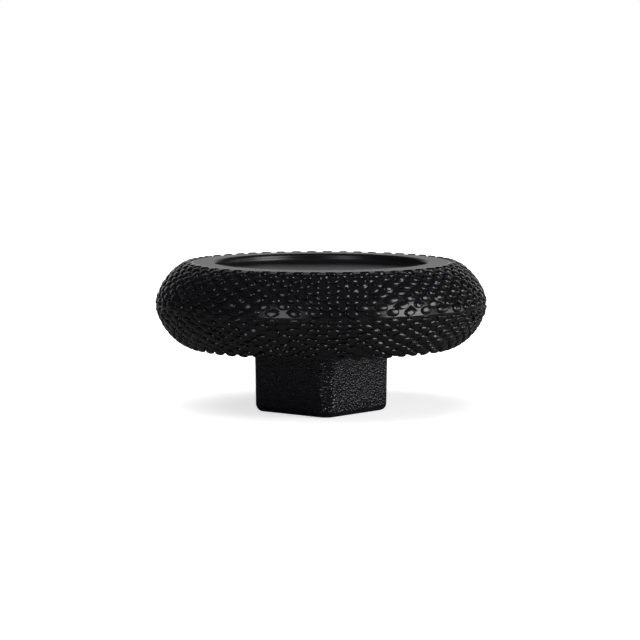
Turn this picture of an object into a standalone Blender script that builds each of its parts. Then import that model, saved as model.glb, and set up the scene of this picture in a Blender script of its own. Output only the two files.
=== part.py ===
# Thumbstick cap of a game controller, moulded in one piece: a thick round grip disc with a
# dished top and a rim covered in small raised studs, carried on a square post with a socket.
# The origin is the centre of the post's foot. +Z runs up the stick, and the flats of the post
# face along X and Y.

import math

import bmesh
import bpy
import numpy as np
from mathutils import Matrix

MM = 0.001

# Grip disc
STUD_TIP_DIAMETER = 20.0 * MM
GRIP_THICKNESS = 5.00 * MM
RIM_ROUND_REACH = 2.15 * MM
RIM_ROUND_POWER = 1.63  # 2 makes the rim's section a half ellipse, and less draws in its shoulders

# Lattice of studs on the rim, in staggered rows, closer together below the parting line
STUDS_AROUND = 52
BANDS_ABOVE = 5
BANDS_BELOW = 6
PARTING_BAND_SHARE = 0.885  # width of the two bands beside the parting line, in widths of the others
LATTICE_END = math.radians(86.0)
STUD_HEIGHT = 0.15 * MM
STUD_EDGE_SLOPE = 0.11 * MM
STUD_FADE_START = 0.73  # share of the half thickness above which the studs get lower
STUD_FADE_END = 0.35  # share of the full height that the studs fade to at the disc's faces

# Dish in the top of the disc
DISH_MOUTH_DIAMETER = 12.72 * MM
DISH_LIP_RADIUS = 0.20 * MM
DISH_COVE_RADIUS = 0.27 * MM
DISH_EDGE_DEPTH = 0.52 * MM
DISH_CENTRE_DEPTH = 0.87 * MM

# Square post, measured across its flats at the foot
POST_WIDTH = 6.05 * MM
POST_LENGTH = 4.02 * MM
POST_DRAFT = math.radians(0.7)
POST_CORNER_FLAT = 0.72 * MM
POST_FOOT_RADIUS = 0.42 * MM
POST_ROOT_RADIUS = 0.40 * MM
POST_EMBED = 0.50 * MM

# Socket in the foot, round with two flats, which presses onto the shaft of the stick's module
SHAFT_DIAMETER = 3.90 * MM
SHAFT_FLATS = 2.90 * MM
SHAFT_CLEARANCE = 0.05 * MM
SOCKET_DEPTH = 5.00 * MM
SOCKET_LEAD_IN = 0.30 * MM

# Fineness of the curved surfaces
LIP_STEPS = 2
COVE_STEPS = 2
FLOOR_STEPS = 2
FOOT_STEPS = 3
ROOT_STEPS = 3
SOCKET_STEPS = 32
SECTION_SAMPLES = 2001
SHARP_ANGLE = math.radians(32.0)
CUT_MARGIN = 0.50 * MM
WELD_DISTANCE = 0.001 * MM

# Finish
PLASTIC_COLOUR = (0.018, 0.018, 0.020, 1.0)
PLASTIC_ROUGHNESS = 0.42

HALF_THICKNESS = GRIP_THICKNESS / 2
EQUATOR_HEIGHT = POST_LENGTH + HALF_THICKNESS
RIM_CENTRE_RADIUS = STUD_TIP_DIAMETER / 2 - STUD_HEIGHT - RIM_ROUND_REACH
COLUMN_ANGLE = 2 * math.pi / STUDS_AROUND


def clear_scene():
    for thing in list(bpy.data.objects):
        bpy.data.objects.remove(thing)


def add_collection(name):
    group = bpy.data.collections.new(name)
    bpy.context.scene.collection.children.link(group)
    return group


def add_object(name, mesh, group):
    thing = bpy.data.objects.new(name, mesh)
    group.objects.link(thing)
    return thing


def plastic():
    finish = bpy.data.materials.new("black_plastic")
    finish.use_nodes = True
    shader = finish.node_tree.nodes["Principled BSDF"]
    shader.inputs["Base Color"].default_value = PLASTIC_COLOUR
    shader.inputs["Roughness"].default_value = PLASTIC_ROUGHNESS
    shader.inputs["Metallic"].default_value = 0.0
    return finish


# A section is a list of (radius, height) points, with height 0 at the disc's equator

def half_rows(bands):
    # Points on the rim from beside the equator up to the lattice's end, with bands of equal width
    # between them except the narrower first one
    angle = np.linspace(0, LATTICE_END, SECTION_SAMPLES)
    radius = RIM_CENTRE_RADIUS + RIM_ROUND_REACH * np.cos(angle) ** (2 / RIM_ROUND_POWER)
    height = HALF_THICKNESS * np.sin(angle) ** (2 / RIM_ROUND_POWER)
    length = np.append(0, np.cumsum(np.hypot(np.diff(radius), np.diff(height))))
    band = length[-1] / (bands - 1 + PARTING_BAND_SHARE)
    rows = band * (np.arange(bands) + PARTING_BAND_SHARE)
    return list(zip(np.interp(rows, length, radius), np.interp(rows, length, height)))


def rim_rows():
    # Points down the rim from the lattice's top to its bottom, one on the equator among them
    equator = (RIM_CENTRE_RADIUS + RIM_ROUND_REACH, 0)
    below = [(radius, -height) for radius, height in half_rows(BANDS_BELOW)]
    return half_rows(BANDS_ABOVE)[::-1] + [equator] + below


def arc_points(centre, radius, start, end, steps):
    # Points along an arc of the section, both ends included
    angles = np.linspace(start, end, steps + 1)
    return [(centre[0] + radius * math.cos(a), centre[1] + radius * math.sin(a)) for a in angles]


def dish_points():
    # From the middle of the concave floor, up the cove and the wall, and over the rounded lip
    mouth = DISH_MOUTH_DIAMETER / 2
    floor_radius = mouth - DISH_COVE_RADIUS
    rise = DISH_CENTRE_DEPTH - DISH_EDGE_DEPTH
    edge_slope = math.atan(2 * rise / floor_radius)
    top = HALF_THICKNESS
    floor = []
    for step in range(FLOOR_STEPS):
        share = step / FLOOR_STEPS
        floor.append((floor_radius * share, top - DISH_CENTRE_DEPTH + rise * share ** 2))
    cove = arc_points((floor_radius, top - DISH_EDGE_DEPTH + DISH_COVE_RADIUS), DISH_COVE_RADIUS,
                      edge_slope - math.pi / 2, 0, COVE_STEPS)
    lip = arc_points((mouth + DISH_LIP_RADIUS, top - DISH_LIP_RADIUS), DISH_LIP_RADIUS,
                     math.pi, math.pi / 2, LIP_STEPS)
    return floor + cove + lip


def disc_section():
    # The whole disc, from the middle of the dish over the rim to the middle of the underside
    crown = [(RIM_CENTRE_RADIUS, HALF_THICKNESS)]
    underside = [(RIM_CENTRE_RADIUS, -HALF_THICKNESS), (0, -HALF_THICKNESS)]
    return dish_points() + crown + rim_rows() + underside


def turned_mesh(name, section):
    # The section swept once round the axis, with one column of faces to each stud
    outline = bpy.data.meshes.new(name)
    points = [(radius, 0, height) for radius, height in section]
    edges = [(i, i + 1) for i in range(len(points) - 1)]
    outline.from_pydata(points, edges, [])
    guide = add_object(name + "_section", outline, bpy.context.scene.collection)
    screw = guide.modifiers.new("turn", 'SCREW')
    screw.steps = STUDS_AROUND
    screw.render_steps = STUDS_AROUND
    screw.use_merge_vertices = True
    screw.merge_threshold = WELD_DISTANCE
    evaluated = guide.evaluated_get(bpy.context.evaluated_depsgraph_get())
    mesh = bpy.data.meshes.new_from_object(evaluated)
    bpy.data.objects.remove(guide)
    return mesh


def is_level(edge):
    return abs(edge.verts[0].co.z - edge.verts[1].co.z) < WELD_DISTANCE


def lattice_faces(bm):
    # The faces of the rim between the lattice's two ends
    inner = rim_rows()[0][0] - WELD_DISTANCE
    return [face for face in bm.faces if all(math.hypot(v.co.x, v.co.y) > inner for v in face.verts)]


def cut_lattice(bm):
    # Each face is poked into four and the old edges between the faces go, which leaves a diamond
    # in place of every old edge, in staggered rows
    faces = lattice_faces(bm)
    inside = set(faces)
    old_edges = [edge for edge in bm.edges if sum(face in inside for face in edge.link_faces) == 2]
    bmesh.ops.poke(bm, faces=faces)
    bmesh.ops.dissolve_edges(bm, edges=old_edges, use_verts=False)
    return [face for face in bm.faces if len(face.verts) == 4 and not any(map(is_level, face.edges))]


def stud_rows(diamonds):
    # Every diamond carries a stud, except the bare row along the parting line at the equator
    rows = {}
    for face in diamonds:
        step = round(face.calc_center_median().z / WELD_DISTANCE)
        rows.setdefault(step, []).append(face)
    rows.pop(min(rows, key=abs))
    return rows


def raise_studs(bm, diamonds):
    for step, studs in stud_rows(diamonds).items():
        level = abs(step) * WELD_DISTANCE / HALF_THICKNESS
        share = np.interp(level, (STUD_FADE_START, 1), (1, STUD_FADE_END))
        bmesh.ops.inset_individual(bm, faces=studs, thickness=STUD_EDGE_SLOPE,
                                   depth=STUD_HEIGHT * share, use_even_offset=True)


def build_disc(group):
    mesh = turned_mesh("thumbstick_cap", disc_section())
    bm = bmesh.new()
    bm.from_mesh(mesh)
    raise_studs(bm, cut_lattice(bm))
    # Half a column's turn sets a stud of every second row over the middle of each flat of the post
    bmesh.ops.rotate(bm, verts=bm.verts, matrix=Matrix.Rotation(COLUMN_ANGLE / 2, 3, 'Z'))
    bmesh.ops.translate(bm, verts=bm.verts, vec=(0, 0, EQUATOR_HEIGHT))
    bm.to_mesh(mesh)
    bm.free()
    return add_object("thumbstick_cap", mesh, group)


def flare_root(bm, top):
    # The post's upper end widens in a quarter round where it meets the disc, then runs on into it
    spread = rise = 0.0
    for step in range(1, ROOT_STEPS + 1):
        angle = math.pi / 2 * step / ROOT_STEPS
        new_spread = POST_ROOT_RADIUS * (1 - math.cos(angle))
        new_rise = POST_ROOT_RADIUS * math.sin(angle)
        bmesh.ops.inset_individual(bm, faces=[top], thickness=spread - new_spread,
                                   depth=new_rise - rise, use_even_offset=True)
        spread, rise = new_spread, new_rise
    bmesh.ops.inset_individual(bm, faces=[top], thickness=0, depth=POST_EMBED)


def build_post(group):
    # A drafted square prism with its corners cut flat and its foot rounded
    straight = POST_LENGTH - POST_ROOT_RADIUS
    foot = POST_WIDTH / 2
    head = foot + straight * math.tan(POST_DRAFT)
    bm = bmesh.new()
    turn = Matrix.Rotation(math.pi / 4, 4, 'Z')
    lift = Matrix.Translation((0, 0, straight / 2))
    bmesh.ops.create_cone(bm, cap_ends=True, segments=4, radius1=foot * math.sqrt(2),
                          radius2=head * math.sqrt(2), depth=straight, matrix=lift @ turn)
    corners = [edge for edge in bm.edges if not is_level(edge)]
    bmesh.ops.bevel(bm, geom=corners, offset=POST_CORNER_FLAT / math.sqrt(2), segments=1,
                    affect='EDGES')
    foot_edges = [edge for edge in bm.edges
                  if max(v.co.z for v in edge.verts) < WELD_DISTANCE]
    bmesh.ops.bevel(bm, geom=foot_edges, offset=POST_FOOT_RADIUS, segments=FOOT_STEPS,
                    profile=0.5, affect='EDGES')
    flare_root(bm, max(bm.faces, key=lambda face: face.calc_center_median().z))
    mesh = bpy.data.meshes.new("post")
    bm.to_mesh(mesh)
    bm.free()
    return add_object("post", mesh, group)


def build_socket(group):
    # A round cutter with two flats, flared at its mouth
    radius = SHAFT_DIAMETER / 2 + SHAFT_CLEARANCE
    flat = SHAFT_FLATS / 2 + SHAFT_CLEARANCE
    bm = bmesh.new()
    bmesh.ops.create_cone(bm, cap_ends=True, segments=SOCKET_STEPS, radius1=radius, radius2=radius,
                          depth=SOCKET_DEPTH - SOCKET_LEAD_IN,
                          matrix=Matrix.Translation((0, 0, (SOCKET_DEPTH + SOCKET_LEAD_IN) / 2)))
    for side in (-1, 1):
        cut = bmesh.ops.bisect_plane(bm, geom=bm.verts[:] + bm.edges[:] + bm.faces[:],
                                     plane_co=(0, side * flat, 0), plane_no=(0, side, 0),
                                     clear_outer=True)
        rim = [edge for edge in cut["geom_cut"] if isinstance(edge, bmesh.types.BMEdge)]
        bmesh.ops.holes_fill(bm, edges=rim)
    mouth = min(bm.faces, key=lambda face: face.calc_center_median().z)
    bmesh.ops.inset_individual(bm, faces=[mouth], thickness=-SOCKET_LEAD_IN, depth=SOCKET_LEAD_IN,
                               use_even_offset=True)
    bmesh.ops.inset_individual(bm, faces=[mouth], thickness=0, depth=CUT_MARGIN)
    mesh = bpy.data.meshes.new("socket")
    bm.to_mesh(mesh)
    bm.free()
    return add_object("socket", mesh, group)


def apply_boolean(body, operation, tool):
    step = body.modifiers.new(tool.name, 'BOOLEAN')
    step.operation = operation
    step.object = tool
    step.solver = 'EXACT'


def hide_cutter(tool):
    tool.hide_render = True
    tool.display_type = 'WIRE'


def build_cap(parts, cutters):
    cap = build_disc(parts)
    post = build_post(cutters)
    socket = build_socket(cutters)
    apply_boolean(cap, 'UNION', post)
    apply_boolean(cap, 'DIFFERENCE', socket)
    hide_cutter(post)
    hide_cutter(socket)
    cap.data.materials.append(plastic())
    cap.data.shade_smooth()
    cap.data.set_sharp_from_angle(angle=SHARP_ANGLE)
    return cap


def main():
    clear_scene()
    parts = add_collection("thumbstick")
    cutters = add_collection("cutters")
    build_cap(parts, cutters)


main()
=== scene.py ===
# Game controller thumbstick: a moulded cap with a studded grip rim, a dished top and a square post
import math

import bmesh
import bpy
import numpy as np
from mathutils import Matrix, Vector


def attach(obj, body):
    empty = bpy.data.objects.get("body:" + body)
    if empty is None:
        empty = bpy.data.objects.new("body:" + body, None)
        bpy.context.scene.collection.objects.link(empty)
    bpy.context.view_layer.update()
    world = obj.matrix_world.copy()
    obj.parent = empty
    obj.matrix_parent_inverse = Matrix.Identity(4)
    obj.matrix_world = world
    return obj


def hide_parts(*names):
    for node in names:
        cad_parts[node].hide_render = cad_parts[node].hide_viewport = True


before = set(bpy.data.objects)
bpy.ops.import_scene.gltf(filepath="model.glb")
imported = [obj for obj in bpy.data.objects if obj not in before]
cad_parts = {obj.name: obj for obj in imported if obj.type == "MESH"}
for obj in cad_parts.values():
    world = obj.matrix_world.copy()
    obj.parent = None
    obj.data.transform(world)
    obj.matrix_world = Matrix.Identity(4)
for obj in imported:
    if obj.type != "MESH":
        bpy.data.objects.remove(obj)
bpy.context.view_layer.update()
mm = 0.001
print("frame: loaded")

# Sizes that the pieces of the moulding share, in mm
cap = {
    "studTipRadius": 9.96,
    "gripThickness": 5.00,
    "postLength": 4.00,
}

# The round of the grip's rim, in mm
rim = {
    "reach": 2.15,             # how far the round reaches sideways
    "power": 1.63,             # 2 makes its section a half ellipse, less draws in its shoulders
    "crestLoop": 0.12,         # from the crest in to a ring of points that keeps the flat faces flat
    "tableSteps": 4000,
}

# The small studs, in staggered rows that are closer together below the parting line
studs = {
    "around": 52,
    "latticeEnd": 89.0,        # degrees round the rim's section where the studs stop
    "rowsAbove": 9,            # rows of studs above the parting line
    "rowsBelow": 10,
    "firstAbove": 0.260,       # mm up or down the section from the parting line to the first row
    "firstBelow": 0.185,
    "latticeTurn": -0.9,       # degrees
    "height": 0.14,
    "ceiling": 0.028,          # mm above the ring, which no stud passes
    "leastUpward": 0.05,       # keeps the way up to that ceiling from a division by zero
    "width": 0.69,             # of their diamond cells
    "length": 0.65,
    "lineReach": 0.96,         # share of the way to the parting line that the row above it reaches
    # A stud's outline from its foot to its top, as shares of its width and of its height
    "rings": [(1.0, 0.0), (0.945, 0.38), (0.79, 0.72), (0.48, 0.94)],
    # The same for the rows next above the parting line
    "flatRings": [(1.0, 0.0), (0.94, 0.40), (0.80, 0.75), (0.55, 0.95)],
    "flatRows": 2,
    "sidePoints": 4,           # points on each side of a diamond cell
    "seed": 4,
    "freeHeight": 0.5,         # share of its height from which a stud has all of its unevenness
    "astray": 0.045,           # mm that a stud's top stands off the middle of its cell
    "sizeSpread": 0.10,
    "turnSpread": 0.05,        # radians
    "lean": 0.24,              # share of its height that a stud's top is lower on one side
    "uneven": 0.10,            # mm that the lattice wanders
    # Waves of the wandering: strength, number round the rim, phase for each mm up, phase
    "wavesAside": [(1.0, 5, 2.1, 0.0), (0.8, 13, -1.7, 1.0), (0.5, 23, 4.0, 0.0)],
    "wavesAlong": [(1.0, 7, 1.3, 2.0), (0.7, 17, 0.6, 0.0)],
}

halfThickness = cap["gripThickness"] / 2
equator = cap["postLength"] + halfThickness
baseRadius = cap["studTipRadius"] - studs["height"]
rimCentre = baseRadius - rim["reach"]
columns = studs["around"]
columnAngle = 2 * math.pi / columns
latticeTurn = math.radians(studs["latticeTurn"])
ringPoints = 4 * columns       # points round every smooth ring


# Half of the rim's section as a table of length along it, so that a stud can be placed by length
def rimTable():
    angle = np.linspace(0, math.pi / 2, rim["tableSteps"] + 1)
    radius = rim["reach"] * np.cos(angle) ** (2 / rim["power"])
    height = halfThickness * np.sin(angle) ** (2 / rim["power"])
    return angle, np.append(0, np.cumsum(np.hypot(np.diff(radius), np.diff(height))))


sectionAngle, sectionLength = rimTable()
latticeEnd = float(np.interp(math.radians(studs["latticeEnd"]), sectionAngle, sectionLength))


# Length up the section of a row, counted from the parting line, where row 0 is the bare one
def rowLength(row):
    if row == 0:
        return 0.0
    if row > 0:
        first, rows = studs["firstAbove"], studs["rowsAbove"]
    else:
        first, rows = studs["firstBelow"], studs["rowsBelow"]
    return math.copysign(first + (abs(row) - 1) * (latticeEnd - first) / rows, row)


def waveSum(waves, turn, up):
    return sum(strength * np.sin(count * turn + climb * up + phase)
               for strength, count, climb, phase in waves)


# The lattice wanders a little, except at its two ends, and the parting line stays straight
def wander(turn, up):
    share = np.clip(up / latticeEnd, -1, 1)
    fade = np.cos(share * math.pi / 2) * studs["uneven"]
    aside = waveSum(studs["wavesAside"], turn, up)
    along = waveSum(studs["wavesAlong"], turn, up)
    return turn + fade * aside / baseRadius, up + fade * np.sin(np.abs(share) * math.pi) * along


# A point of the rim from its turn round the axis, its length up the section and its height above
# the skin
def rimPoint(turn, up, proud):
    turn, up = wander(turn, up)
    angle = np.interp(np.abs(up), sectionLength, sectionAngle)
    power, side = 2 / rim["power"], np.where(up < 0, -1.0, 1.0)
    outward = np.cos(angle) ** (2 - power) / rim["reach"]
    upward = side * np.sin(angle) ** (2 - power) / halfThickness
    scale = np.hypot(outward, upward)
    outward, upward = outward / scale, upward / scale
    height = side * halfThickness * np.sin(angle) ** power
    headroom = halfThickness + studs["ceiling"] - height
    proud = np.minimum(proud, headroom / np.maximum(upward, studs["leastUpward"]))
    radius = rimCentre + rim["reach"] * np.cos(angle) ** power + proud * outward
    height = height + proud * upward
    turn = turn + latticeTurn
    return np.stack([radius * np.cos(turn), radius * np.sin(turn), equator + height], axis=-1)


# Collects points and faces in mm, each face with the name of its finish
class Skin:
    def __init__(self):
        self.points = []
        self.faces = []
        self.finish = []

    def add(self, points, faces, finish):
        start = len(self.points)
        self.points.extend(map(tuple, points))
        self.faces.extend([tuple(start + i for i in face) for face in faces])
        self.finish.extend(finish if isinstance(finish, list) else [finish] * len(faces))


# Points round a diamond cell that reaches one unit each way, anticlockwise from its right corner
def diamondOutline():
    corners = [(1, 0), (0, 1), (-1, 0), (0, -1), (1, 0)]
    outline = []
    for start, end in zip(corners, corners[1:]):
        for share in np.arange(studs["sidePoints"]) / studs["sidePoints"]:
            outline.append(np.add(start, share * np.subtract(end, start)))
    return np.array(outline)


# Quads between each ring and the next one in, and a fan inside the last
def ringFaces(count, rings):
    faces = []
    for ring in range(rings - 1):
        outer, inner = ring * count, (ring + 1) * count
        for i in range(count):
            j = (i + 1) % count
            faces.append((outer + i, outer + j, inner + j, inner + i))
    last, middle = (rings - 1) * count, rings * count
    faces += [(last + i, last + (i + 1) % count, middle) for i in range(count)]
    return faces


# Each diamond cell above and below the bare row, with a stud that is a little uneven
def addStuds(skin):
    chance = np.random.default_rng(studs["seed"])
    outline = diamondOutline()
    count = len(outline)
    faces = ringFaces(count, len(studs["rings"]) + 1)
    finish = ["netPlastic"] * count + ["studPlastic"] * (len(faces) - count)
    proud = studs["height"]
    for row in range(-studs["rowsBelow"], studs["rowsAbove"] + 1):
        if row == 0:
            continue
        up = rowLength(row)
        upper, lower = rowLength(row + 1) - up, up - rowLength(row - 1)
        cell = outline.copy()
        cell[:, 1] *= np.where(outline[:, 1] > 0, upper, lower)
        radius = math.hypot(*rimPoint(0.0, up, 0.0)[:2])
        halfCell = columnAngle / 2 * radius
        around = np.arctan2(outline[:, 1] * (upper + lower) / 2, cell[:, 0] * halfCell)
        halfWidth = studs["width"] * halfCell
        upperReach = studs["length"] * upper
        lowerReach = (studs["lineReach"] if row == 1 else studs["length"]) * lower
        shape = studs["flatRings"] if 0 < row <= studs["flatRows"] else studs["rings"]
        for column in range(columns):
            turn = (column + 0.5 * (row % 2)) * columnAngle
            rings = [rimPoint(turn + cell[:, 0] * columnAngle / 2, up + cell[:, 1], 0.0)]
            aside, ahead = chance.normal(0, studs["astray"] / 2, 2)
            size = 1 + chance.uniform(-1, 1) * studs["sizeSpread"]
            twist = chance.normal(0, studs["turnSpread"])
            leanAside, leanAhead = chance.normal(0, studs["lean"], 2)
            for share, rise in shape:
                free = min(1.0, rise / studs["freeHeight"])
                scale = share * (1 + (size - 1) * free)
                east, north = np.cos(around + twist * free), np.sin(around + twist * free)
                across = scale * halfWidth * east + aside * free
                along = scale * np.where(north > 0, upperReach, lowerReach) * north + ahead * free
                lean = 1 + share * (leanAside * east + leanAhead * north)
                level = np.minimum(rise * lean, 1) * proud
                rings.append(rimPoint(turn + across / radius, up + along, level))
            rings.append(rimPoint(turn + aside / radius, up + ahead, proud))
            skin.add(np.vstack(rings), faces, finish)


# The fine line that the mould left round the equator, and the levels of the points beside it as
# shares of the way to the corners of the bare diamonds
partingLine = {
    "ridge": 0.006,            # mm that the line stands proud
    "levels": [-1.0, -0.45, -0.12, 0.0, 0.12, 0.45, 1.0],
}


# The bare diamonds along the equator, with the parting line across them
def addPartingLine(skin):
    steps = 2 * studs["sidePoints"]
    across = np.linspace(-1, 1, steps + 1)
    levels = np.array(partingLine["levels"])
    reach = np.where(levels > 0, rowLength(1), -rowLength(-1))
    proud = np.where(levels == 0, partingLine["ridge"], 0.0)
    rows = len(levels)
    faces = []
    for i in range(steps):
        for j in range(rows - 1):
            a, b = i * rows + j, (i + 1) * rows + j
            faces.append((a, b, b + 1, a + 1))
    for column in range(columns):
        turn = column * columnAngle
        grid = [rimPoint(turn + a * columnAngle / 2, levels * (1 - abs(a)) * reach,
                         proud * (abs(a) < 1)) for a in across]
        skin.add(np.vstack(grid), faces, "netPlastic")


# Fills the notches between the last row of studs and a level ring, at both ends of the lattice
def addLatticeEnds(skin):
    steps = 2 * studs["sidePoints"]
    across = np.linspace(-1, 1, steps + 1)
    level = np.linspace(-1, 1, steps // 2 + 1)
    faces = []
    for i in range(steps // 2):
        faces.append((2 * i, 2 * i + 1, steps + 2 + i, steps + 1 + i))
        faces.append((2 * i + 1, 2 * i + 2, steps + 2 + i))
    for end in (studs["rowsAbove"] + 1, -studs["rowsBelow"] - 1):
        top, last = rowLength(end), rowLength(end - int(math.copysign(1, end)))
        for column in range(columns):
            turn = (column + 0.5 * (end % 2)) * columnAngle
            notch = last + np.abs(across) * (top - last)
            low = rimPoint(turn + across * columnAngle / 2, notch, 0.0)
            high = rimPoint(turn + level * columnAngle / 2, np.full(len(level), top), 0.0)
            skin.add(np.vstack([low, high]), faces, "netPlastic")


def circle(radius, height):
    turn = np.arange(ringPoints) * 2 * math.pi / ringPoints + latticeTurn
    level = np.full(ringPoints, height)
    return np.stack([radius * np.cos(turn), radius * np.sin(turn), level], axis=-1)


# An arc of the disc's section as rings, from one angle to another in degrees, with the centre's
# height counted from the equator
def arcRings(centre, radius, start, end, steps):
    rings = []
    for angle in np.radians(np.linspace(start, end, steps + 1)):
        height = equator + centre[1] + radius * math.sin(angle)
        rings.append(circle(centre[0] + radius * math.cos(angle), height))
    return rings


# Rings on from the lattice's end over the crest of the rim, above or below
def crestRings(side):
    turn = np.arange(ringPoints) * 2 * math.pi / ringPoints
    rings = []
    for up in np.linspace(latticeEnd, sectionLength[-1], 3):
        rings.append(rimPoint(turn, np.full(ringPoints, side * up), 0.0))
    return rings + [circle(rimCentre - rim["crestLoop"], equator + side * halfThickness)]


# Rings between two others, at shares of the way from the first to the last
def blendRings(first, last, shares):
    return [first + share * (last - first) for share in shares]


# Joins a list of rings with quads, and closes the last one where asked
def addRings(skin, rings, finish, closed=False):
    count = len(rings[0])
    points = np.vstack(rings)
    faces = ringFaces(count, len(rings))
    if closed:
        points = np.vstack([points, rings[-1].mean(axis=0)])
    else:
        faces = faces[:-count]
    skin.add(points, faces, finish)


# The dish in the grip's top, in mm, with depths from the ring round it
dish = {
    "mouthRadius": 6.36,
    "lipRadius": 0.20,
    "lipLoop": 0.10,           # from the lip out to a ring of points that keeps the ring flat
    "coveRadius": 0.26,
    "edgeDepth": 0.52,
    "depth": 0.87,
    "lipSteps": 6,
    "coveSteps": 8,
    "floorSteps": 10,
}


# The flat ring, the rounded lip, the wall, the cove and the bowl of the dish's floor
def addTop(skin):
    lip, cove = dish["lipRadius"], dish["coveRadius"]
    lipCentre = dish["mouthRadius"] + lip
    rise = dish["depth"] - dish["edgeDepth"]
    floorRadius = dish["mouthRadius"] - cove
    floorSlope = math.degrees(math.atan(2 * rise / floorRadius))
    coveHeight = halfThickness - dish["edgeDepth"] + cove
    rings = crestRings(1) + [circle(lipCentre + dish["lipLoop"], equator + halfThickness)]
    rings += arcRings((lipCentre, halfThickness - lip), lip, 90, 180, dish["lipSteps"])
    rings += arcRings((floorRadius, coveHeight), cove, 0, floorSlope - 90, dish["coveSteps"])
    for share in np.linspace(1, 0, dish["floorSteps"] + 1)[1:-1]:
        height = equator + halfThickness - dish["depth"] + rise * share ** 2
        rings.append(circle(floorRadius * share, height))
    addRings(skin, rings, "satinPlastic", closed=True)


# The square post under the grip, in mm, with flats facing X and Y
post = {
    "width": 6.05,             # at its foot
    "draft": 0.7,              # degrees
    "cornerFlat": 0.72,
    "edgeRadius": 0.28,
    "footRadius": 0.42,
    "rootRadius": 0.40,
    "edgeSteps": 3,
    "cornerSteps": 10,
    "footSteps": 6,
    "rootSteps": 5,
}

# The socket in the post's foot, in mm, round with two flats facing Y
socket = {
    "radius": 2.00,
    "flat": 1.50,              # from the middle
    "depth": 5.0,
    "leadIn": 0.30,
}


# A square ring with its corners cut flat and the edges of the cuts slightly rounded
def postRing(half, cut, height):
    edge = post["edgeRadius"]
    tangent = edge * math.tan(math.pi / 8)
    sidePoints = (columns - 2 * post["edgeSteps"] - post["cornerSteps"] + 2) // 2
    quarter = [(half, y) for y in np.linspace(0, half - cut - tangent, sidePoints)]
    for turn in np.linspace(0, math.pi / 4, post["edgeSteps"] + 1)[1:]:
        x = half - edge + edge * math.cos(turn)
        quarter.append((x, half - cut - tangent + edge * math.sin(turn)))
    mirrored = [(y, x) for x, y in reversed(quarter)]
    start, end = np.array(quarter[-1]), np.array(mirrored[0])
    shares = np.linspace(0, 1, post["cornerSteps"] + 1)[1:-1]
    quarter += [tuple(start + share * (end - start)) for share in shares]
    quarter = np.array(quarter + mirrored[:-1])
    x, y = quarter[:, 0], quarter[:, 1]
    turned = []
    for side in range(4):
        c, s = round(math.cos(side * math.pi / 2)), round(math.sin(side * math.pi / 2))
        turned.append(np.stack([c * x - s * y, s * x + c * y], axis=-1))
    outline = np.vstack(turned)
    return np.hstack([outline, np.full((len(outline), 1), height)])


# The post's ring at a height, pulled in, or let out, by the same amount all round
def postOffset(inward, height):
    half = post["width"] / 2 + height * math.tan(math.radians(post["draft"]))
    cut = post["cornerFlat"] / math.sqrt(2) - (2 - math.sqrt(2)) * inward
    return postRing(half - inward, cut, height)


# The socket's ring, with as many points as the post's
def socketRing(radius, flat, height):
    corner = math.asin(flat / radius)
    points = columns // 2 + 1
    quarter = [(radius * math.cos(a), radius * math.sin(a)) for a in np.linspace(0, corner, points)]
    quarter += [(x, flat) for x in np.linspace(radius * math.cos(corner), 0, points)[1:]]
    half = quarter + [(-x, y) for x, y in reversed(quarter)][1:]
    whole = half + [(x, -y) for x, y in reversed(half)][1:-1]
    return np.array([(x, y, height) for x, y in whole])


# The smooth underside, from the lattice's end in to the flare of the post's root
def addUnderside(skin):
    rings = crestRings(-1)
    flare = postOffset(-post["rootRadius"], cap["postLength"])
    rings += blendRings(rings[-1], flare, (0.35, 0.7))
    addRings(skin, rings + [flare], "satinPlastic")


# The flared root, the drafted sides, the rounded foot and the socket up into it
def addPost(skin):
    root, foot, lead = post["rootRadius"], post["footRadius"], socket["leadIn"]
    rings = []
    for angle in np.radians(np.linspace(90, 0, post["rootSteps"] + 1)):
        height = cap["postLength"] - root + root * math.sin(angle)
        rings.append(postOffset(-root * (1 - math.cos(angle)), height))
    rings += blendRings(rings[-1], postOffset(0, foot), (0.25, 0.5, 0.75))
    for angle in np.radians(np.linspace(0, 90, post["footSteps"] + 1)):
        rings.append(postOffset(foot * (1 - math.cos(angle)), foot - foot * math.sin(angle)))
    mouth = socketRing(socket["radius"] + lead, socket["flat"] + lead, 0)
    rings += blendRings(rings[-1], mouth, (0.5,))
    rings.append(mouth)
    rings.append(socketRing(socket["radius"], socket["flat"], lead))
    rings.append(socketRing(socket["radius"], socket["flat"], socket["depth"]))
    addRings(skin, rings, "postPlastic", closed=True)


# One black plastic in four textures. The grain's scale is for metres, its spread is how far it
# varies the roughness, and its relief is in mm, of which depth is the share that shows.
satinFinish = {"colour": (0.0055, 0.0055, 0.0060), "roughness": 0.33, "spread": 0.04,
               "grain": 9000.0, "detail": 3.0, "relief": 0.02, "depth": 0.06}
netFinish = {"colour": (0.0055, 0.0055, 0.0062), "roughness": 0.21, "spread": 0.03,
             "grain": 7000.0, "detail": 2.0, "relief": 0.02, "depth": 0.05}
studFinish = {"colour": (0.0055, 0.0055, 0.0062), "roughness": 0.19, "spread": 0.03,
              "grain": 5000.0, "detail": 2.0, "relief": 0.02, "depth": 0.05}
postFinish = {"colour": (0.0080, 0.0080, 0.0118), "roughness": 0.19,
              "grain": 7500.0, "relief": 0.085, "depth": 1.0}


def newMaterial(name, look):
    material = bpy.data.materials.new(name)
    material.use_nodes = True
    shader = material.node_tree.nodes["Principled BSDF"]
    shader.inputs["Base Color"].default_value = (*look["colour"], 1.0)
    shader.inputs["Roughness"].default_value = look["roughness"]
    return material, material.node_tree, shader


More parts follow.
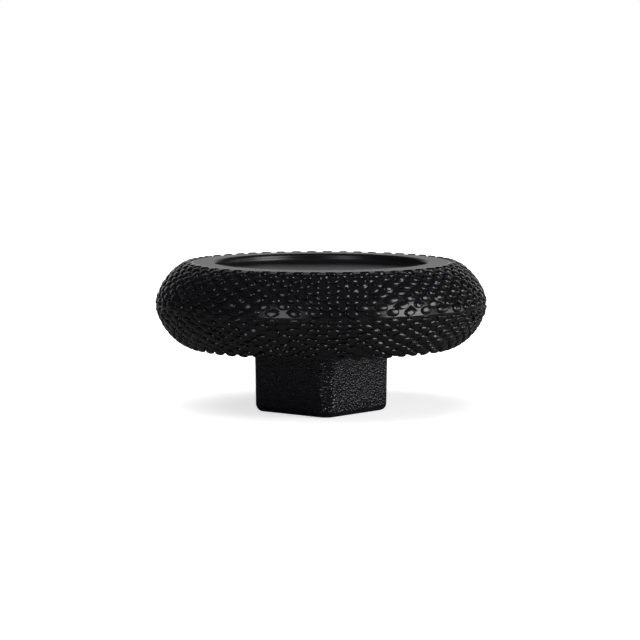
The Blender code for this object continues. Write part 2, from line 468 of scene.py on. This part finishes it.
def addRelief(tree, shader, look, height):
    bump = tree.nodes.new("ShaderNodeBump")
    bump.inputs["Strength"].default_value = look["depth"]
    bump.inputs["Distance"].default_value = look["relief"] * mm
    tree.links.new(height, bump.inputs["Height"])
    tree.links.new(bump.outputs["Normal"], shader.inputs["Normal"])


# Plastic with a fine grain that varies the roughness and gives the surface its relief
def grainedPlastic(name, look):
    material, tree, shader = newMaterial(name, look)
    place = tree.nodes.new("ShaderNodeTexCoord")
    grain = tree.nodes.new("ShaderNodeTexNoise")
    grain.inputs["Scale"].default_value = look["grain"]
    grain.inputs["Detail"].default_value = look["detail"]
    tree.links.new(place.outputs["Object"], grain.inputs["Vector"])
    gloss = tree.nodes.new("ShaderNodeMapRange")
    gloss.inputs["To Min"].default_value = look["roughness"] - look["spread"]
    gloss.inputs["To Max"].default_value = look["roughness"] + look["spread"]
    tree.links.new(grain.outputs["Fac"], gloss.inputs["Value"])
    tree.links.new(gloss.outputs["Result"], shader.inputs["Roughness"])
    addRelief(tree, shader, look, grain.outputs["Fac"])
    return material


# The post's coarse grain is a field of small pits of uneven depth, which glint one by one
def postPlastic():
    material, tree, shader = newMaterial("postPlastic", postFinish)
    place = tree.nodes.new("ShaderNodeTexCoord")
    pits = tree.nodes.new("ShaderNodeTexVoronoi")
    pits.inputs["Scale"].default_value = postFinish["grain"]
    tree.links.new(place.outputs["Object"], pits.inputs["Vector"])
    depth = tree.nodes.new("ShaderNodeMath")
    depth.operation = "MULTIPLY"
    tree.links.new(pits.outputs["Distance"], depth.inputs[0])
    tree.links.new(pits.outputs["Color"], depth.inputs[1])
    addRelief(tree, shader, postFinish, depth.outputs["Value"])
    return material


welding = {"distance": 0.0005, "sharpAngle": 50}   # mm, and degrees from which an edge shows sharp


# One closed mesh for the whole moulding, with its surfaces welded where they meet
def buildCap():
    skin = Skin()
    surfaces = {"studs": addStuds, "parting line": addPartingLine, "lattice ends": addLatticeEnds,
                "ring and dish": addTop, "underside": addUnderside, "post and socket": addPost}
    for name, addSurface in surfaces.items():
        addSurface(skin)
        print(name + ":", len(skin.faces), "faces so far")
    mesh = bpy.data.meshes.new("moulding")
    mesh.from_pydata((np.array(skin.points) * mm).tolist(), [], skin.faces)
    finishes = {
        "satinPlastic": grainedPlastic("satinPlastic", satinFinish),
        "netPlastic": grainedPlastic("netPlastic", netFinish),
        "studPlastic": grainedPlastic("studPlastic", studFinish),
        "postPlastic": postPlastic(),
    }
    for material in finishes.values():
        mesh.materials.append(material)
    order = list(finishes)
    mesh.polygons.foreach_set("material_index", [order.index(name) for name in skin.finish])
    mesh.update()
    bm = bmesh.new()
    bm.from_mesh(mesh)
    bmesh.ops.remove_doubles(bm, verts=bm.verts, dist=welding["distance"] * mm)
    bmesh.ops.recalc_face_normals(bm, faces=bm.faces)
    openEdges = sum(len(edge.link_faces) != 2 for edge in bm.edges)
    bm.to_mesh(mesh)
    bm.free()
    mesh.shade_smooth()
    mesh.set_sharp_from_angle(angle=math.radians(welding["sharpAngle"]))
    moulding = bpy.data.objects.new("moulding", mesh)
    bpy.context.scene.collection.objects.link(moulding)
    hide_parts("thumbstick_cap")
    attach(moulding, "root")
    print("moulding:", len(mesh.polygons), "faces,", openEdges, "open edges")


# The studio is laid out from the middle of the grip, with turns counted to the right of the camera
studio = {
    "cameraTurn": 39.9,        # degrees from -Y, seen from above
    "cameraRise": 5.23,
    "cameraDistance": 191.5,   # mm
    "lens": 179.3,
    "sensorWidth": 36,
    "clipStart": 0.01,         # metres
    "aimRight": -0.07,         # mm from the middle of the grip to the middle of the picture
    "aimUp": -1.03,
}


def studioPoint(turn, rise, distance):
    angle = math.radians(studio["cameraTurn"] + turn)
    lift = math.radians(rise)
    level = math.cos(lift)
    away = Vector((math.sin(angle) * level, -math.cos(angle) * level, math.sin(lift)))
    return Vector((0, 0, equator * mm)) + away * distance * mm


def pointAt(thing, target):
    thing.rotation_euler = (target - thing.location).to_track_quat("-Z", "Y").to_euler()


def addCamera():
    camera = bpy.data.objects.new("camera", bpy.data.cameras.new("camera"))
    bpy.context.scene.collection.objects.link(camera)
    camera.data.lens = studio["lens"]
    camera.data.sensor_width = studio["sensorWidth"]
    camera.data.clip_start = studio["clipStart"]
    camera.location = studioPoint(0, studio["cameraRise"], studio["cameraDistance"])
    angle = math.radians(studio["cameraTurn"])
    right = Vector((math.cos(angle), math.sin(angle), 0))
    middle = Vector((0, 0, (equator + studio["aimUp"]) * mm))
    pointAt(camera, middle + right * studio["aimRight"] * mm)
    bpy.context.scene.camera = camera
    print("camera: set")


# Softboxes: turn and rise in degrees, distance and size in mm, and whether reflections show them
softboxes = {
    "rightBox": {"turn": 62, "rise": 16, "distance": 250, "size": (140, 145),
                 "radiance": 5.9, "reflected": True, "tint": (1.0, 1.0, 0.99)},
    "sideBox": {"turn": 101, "rise": 3, "distance": 250, "size": (120, 45),
                "radiance": 2.3, "reflected": True, "tint": (1.0, 1.0, 1.0)},
    "leftBox": {"turn": -27, "rise": 14, "distance": 250, "size": (90, 130),
                "radiance": 2.9, "reflected": True, "tint": (0.92, 0.91, 1.0)},
    "overheadBox": {"turn": -22, "rise": 65, "distance": 300, "size": (300, 300),
                    "radiance": 3.0, "reflected": False, "tint": (1.0, 1.0, 1.0)},
}


def addSoftboxes():
    for name, look in softboxes.items():
        lamp = bpy.data.lights.new(name, "AREA")
        lamp.shape = "RECTANGLE"
        lamp.color = look["tint"]
        lamp.size, lamp.size_y = look["size"][0] * mm, look["size"][1] * mm
        lamp.energy = look["radiance"] * math.pi * lamp.size * lamp.size_y
        box = bpy.data.objects.new(name, lamp)
        bpy.context.scene.collection.objects.link(box)
        box.location = studioPoint(look["turn"], look["rise"], look["distance"])
        pointAt(box, Vector((0, 0, equator * mm)))
        box.visible_camera = False
        box.visible_glossy = look["reflected"]
    print("softboxes:", len(softboxes))


# A white room to the camera, and to reflections a dark one that brightens behind the object
room = {
    "front": 0.025,            # light of the dark side, and of the bright side
    "back": 0.80,
    "backWidth": 0.72,         # cosine of the angle from straight behind where the light begins
}


def addRoom():
    world = bpy.data.worlds.new("room")
    bpy.context.scene.world = world
    world.use_nodes = True
    tree = world.node_tree
    tree.nodes.clear()
    place = tree.nodes.new("ShaderNodeTexCoord")
    facing = tree.nodes.new("ShaderNodeVectorMath")
    facing.operation = "DOT_PRODUCT"
    behind = studioPoint(180, 0, 1000) - studioPoint(0, 0, 0)
    facing.inputs[1].default_value = behind.normalized()
    tree.links.new(place.outputs["Generated"], facing.inputs[0])
    level = tree.nodes.new("ShaderNodeMapRange")
    level.interpolation_type = "SMOOTHSTEP"
    level.inputs["From Min"].default_value = room["backWidth"]
    level.inputs["From Max"].default_value = 1.0
    level.inputs["To Min"].default_value = room["front"]
    level.inputs["To Max"].default_value = room["back"]
    tree.links.new(facing.outputs["Value"], level.inputs["Value"])
    dark = tree.nodes.new("ShaderNodeBackground")
    tree.links.new(level.outputs["Result"], dark.inputs["Strength"])
    white = tree.nodes.new("ShaderNodeBackground")
    white.inputs["Color"].default_value = (1, 1, 1, 1)
    path = tree.nodes.new("ShaderNodeLightPath")
    pick = tree.nodes.new("ShaderNodeMixShader")
    output = tree.nodes.new("ShaderNodeOutputWorld")
    tree.links.new(path.outputs["Is Camera Ray"], pick.inputs["Fac"])
    tree.links.new(dark.outputs["Background"], pick.inputs[1])
    tree.links.new(white.outputs["Background"], pick.inputs[2])
    tree.links.new(pick.outputs["Shader"], output.inputs["Surface"])
    print("room: set")


# The floor's own light is weakest under the object, so that only the soft shadow there is below
# white. To all but the camera the floor is dark.
floorLook = {
    "size": 0.5,               # metres
    "drop": 0.01,              # mm below the post's foot
    "seen": 0.8,               # paint to the camera, and to other light
    "bounced": 0.16,
    "nearLift": 0.69,          # light of its own under the object, and away from it
    "farLift": 1.0,
    "nearReach": 0.012,        # metres from the axis where that light starts to grow, and stops
    "farReach": 0.030,
}


def addFloor():
    mesh = bpy.data.meshes.new("floor")
    bm = bmesh.new()
    bmesh.ops.create_grid(bm, x_segments=1, y_segments=1, size=floorLook["size"] / 2)
    bm.to_mesh(mesh)
    bm.free()
    floor = bpy.data.objects.new("floor", mesh)
    bpy.context.scene.collection.objects.link(floor)
    floor.location.z = -floorLook["drop"] * mm
    material = bpy.data.materials.new("paleFloor")
    material.use_nodes = True
    tree = material.node_tree
    tree.nodes.clear()
    place = tree.nodes.new("ShaderNodeTexCoord")
    reach = tree.nodes.new("ShaderNodeVectorMath")
    reach.operation = "LENGTH"
    tree.links.new(place.outputs["Object"], reach.inputs[0])
    lift = tree.nodes.new("ShaderNodeMapRange")
    lift.interpolation_type = "SMOOTHSTEP"
    lift.inputs["From Min"].default_value = floorLook["nearReach"]
    lift.inputs["From Max"].default_value = floorLook["farReach"]
    lift.inputs["To Min"].default_value = floorLook["nearLift"]
    lift.inputs["To Max"].default_value = floorLook["farLift"]
    tree.links.new(reach.outputs["Value"], lift.inputs["Value"])
    seen = tree.nodes.new("ShaderNodeBsdfDiffuse")
    seen.inputs["Color"].default_value = (*[floorLook["seen"]] * 3, 1)
    glow = tree.nodes.new("ShaderNodeEmission")
    tree.links.new(lift.outputs["Result"], glow.inputs["Strength"])
    both = tree.nodes.new("ShaderNodeAddShader")
    bounced = tree.nodes.new("ShaderNodeBsdfDiffuse")
    bounced.inputs["Color"].default_value = (*[floorLook["bounced"]] * 3, 1)
    path = tree.nodes.new("ShaderNodeLightPath")
    pick = tree.nodes.new("ShaderNodeMixShader")
    output = tree.nodes.new("ShaderNodeOutputMaterial")
    tree.links.new(seen.outputs[0], both.inputs[0])
    tree.links.new(glow.outputs[0], both.inputs[1])
    tree.links.new(path.outputs["Is Camera Ray"], pick.inputs["Fac"])
    tree.links.new(bounced.outputs[0], pick.inputs[1])
    tree.links.new(both.outputs[0], pick.inputs[2])
    tree.links.new(pick.outputs[0], output.inputs["Surface"])
    mesh.materials.append(material)
    print("floor: set")


buildCap()
addFloor()
addRoom()
addSoftboxes()
addCamera()
bpy.context.scene.view_settings.view_transform = "Standard"
